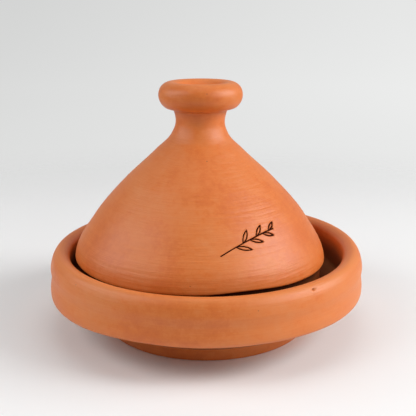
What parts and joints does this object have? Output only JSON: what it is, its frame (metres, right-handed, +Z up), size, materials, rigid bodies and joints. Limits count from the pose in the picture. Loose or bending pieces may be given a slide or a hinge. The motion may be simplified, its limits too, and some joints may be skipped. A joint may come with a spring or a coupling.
{
  "type": "tagine pot",
  "caption": "Unglazed terracotta tagine: low round dish with a heavy rolled rim and foot, and a loose conical lid with a cupped knob.",
  "frame": {"origin": "centre of the foot's underside, on the surface the dish stands on", "axes": "+Z up along the dish's axis; the side with the incised sprig faces -Y, a little towards +X; the lid lies 6 mm towards -X in the dish"},
  "size_m": [0.29, 0.29, 0.223],
  "materials": {
    "terracotta_dish": "matt unglazed terracotta, smoothed by hand, with a faint waxy sheen",
    "terracotta_lid": "matt unglazed terracotta with fine throwing lines and an incised sprig"
  },
  "bodies": {
    "dish": {"dish": "terracotta_dish"},
    "lid": {"lid": "terracotta_lid"}
  },
  "joints": [
    {"name": "lid_lift", "type": "slide", "parent": "dish", "child": "lid", "axis": [0, 0, 1], "range_m": [0, 0.15]}
  ]
}
